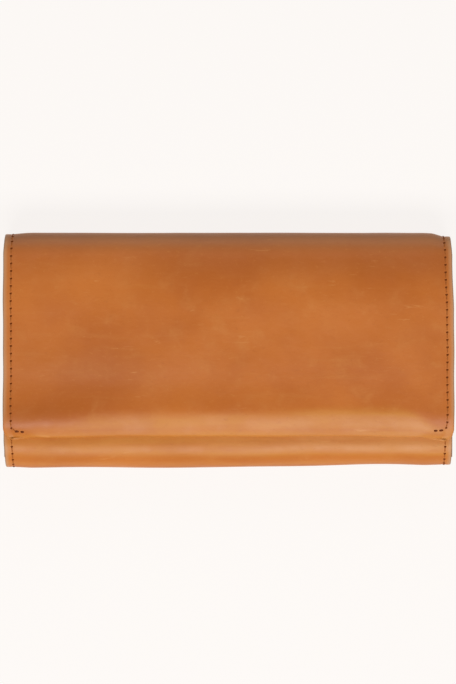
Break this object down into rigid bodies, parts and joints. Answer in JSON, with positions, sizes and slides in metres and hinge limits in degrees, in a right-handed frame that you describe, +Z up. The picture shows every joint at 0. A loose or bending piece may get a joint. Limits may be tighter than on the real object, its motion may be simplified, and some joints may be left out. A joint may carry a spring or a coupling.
{
  "type": "long wallet",
  "caption": "Long flap wallet in tan leather with bill compartments, a zipped coin pocket, card slots and a magnetic snap; the flap folds over a rounded spine.",
  "frame": {"origin": "middle of the closed wallet's footprint, on the surface that its back lies on", "axes": "+X along the wallet's length, +Y towards the spine, +Z up through its thickness to the flap"},
  "size_m": [0.195, 0.101, 0.0252],
  "materials": {
    "hide": "waxed tan pull-up leather, semi-matt",
    "lining": "thin tan lining leather, matt",
    "board": "grey-brown fibre board",
    "thread": "waxed brown thread",
    "zip_cloth": "woven brown tape",
    "zip_brass": "brushed antique brass",
    "snap_brass": "polished light brass",
    "magnet_steel": "plain plated steel"
  },
  "bodies": {
    "back": {"back_panel": "hide", "back_lining": "lining", "bottom_fold": "hide", "gusset_rear_left": "lining", "gusset_rear_right": "lining", "back_thread_left": "thread", "back_thread_right": "thread"},
    "front": {"front_panel": "hide", "front_lining": "lining", "front_thread_left": "thread", "front_thread_right": "thread", "snap_socket_cap": "snap_brass", "snap_socket_base": "magnet_steel", "snap_magnet": "magnet_steel", "snap_socket_washer": "magnet_steel", "gusset_front_left": "lining", "gusset_front_right": "lining"},
    "coin_pocket": {"coin_pocket_rear": "lining", "coin_pocket_front": "lining", "zip_tape_rear": "zip_cloth", "zip_tape_front": "zip_cloth", "zip_teeth_rear": "zip_brass", "zip_teeth_front": "zip_brass", "zip_top_stop_rear": "zip_brass", "zip_top_stop_front": "zip_brass", "zip_bottom_stop": "zip_brass"},
    "zip_slider": {"zip_slider": "zip_brass"},
    "zip_pull": {"zip_pull": "zip_brass"},
    "spine": {"spine_panel": "hide", "spine_lining": "lining"},
    "flap": {"flap_panel": "hide", "flap_stiffener": "board", "flap_lining": "lining", "flap_thread_left": "thread", "flap_thread_right": "thread", "snap_stud": "snap_brass", "snap_stud_washer": "magnet_steel", "card_leaf_left_1": "lining", "card_leaf_left_2": "lining", "card_leaf_left_3": "lining", "card_leaf_right_1": "lining", "card_leaf_right_2": "lining", "card_leaf_right_3": "lining"}
  },
  "joints": [
    {"name": "spine_fold", "type": "hinge", "parent": "back", "child": "spine", "pos_m": [0, 0.04857, 0.00193], "axis": [-1, 0, 0], "range_deg": [0, 90], "deforming": ["spine_panel", "spine_lining"]},
    {"name": "flap_fold", "type": "hinge", "parent": "spine", "child": "flap", "pos_m": [0, 0.04857, 0.02327], "axis": [-1, 0, 0], "range_deg": [0, 90], "deforming": ["spine_panel", "spine_lining"]},
    {"name": "front_open", "type": "hinge", "parent": "coin_pocket", "child": "front", "pos_m": [0, -0.04679, 0.0102], "axis": [1, 0, 0], "range_deg": [0, 10], "deforming": ["bottom_fold", "gusset_front_left", "gusset_front_right"]},
    {"name": "coin_pocket_tilt", "type": "hinge", "parent": "back", "child": "coin_pocket", "pos_m": [0, -0.04679, 0.0102], "axis": [1, 0, 0], "range_deg": [0, 10], "deforming": ["bottom_fold", "gusset_rear_left", "gusset_rear_right", "gusset_front_left", "gusset_front_right"]},
    {"name": "zip_slide", "type": "slide", "parent": "coin_pocket", "child": "zip_slider", "axis": [-1, 0, 0], "range_m": [0, 0.154], "deforming": ["zip_teeth_rear", "zip_teeth_front"]},
    {"name": "zip_pull_flip", "type": "hinge", "parent": "zip_slider", "child": "zip_pull", "pos_m": [0.0781, 0.0347, 0.0102], "axis": [0, 0, -1], "range_deg": [0, 180]}
  ],
  "couplings": [
    {"joint": "flap_fold", "follows": "spine_fold", "ratio": 1},
    {"joint": "front_open", "follows": "spine_fold", "ratio": 0.11},
    {"joint": "coin_pocket_tilt", "follows": "spine_fold", "ratio": 0.11}
  ]
}
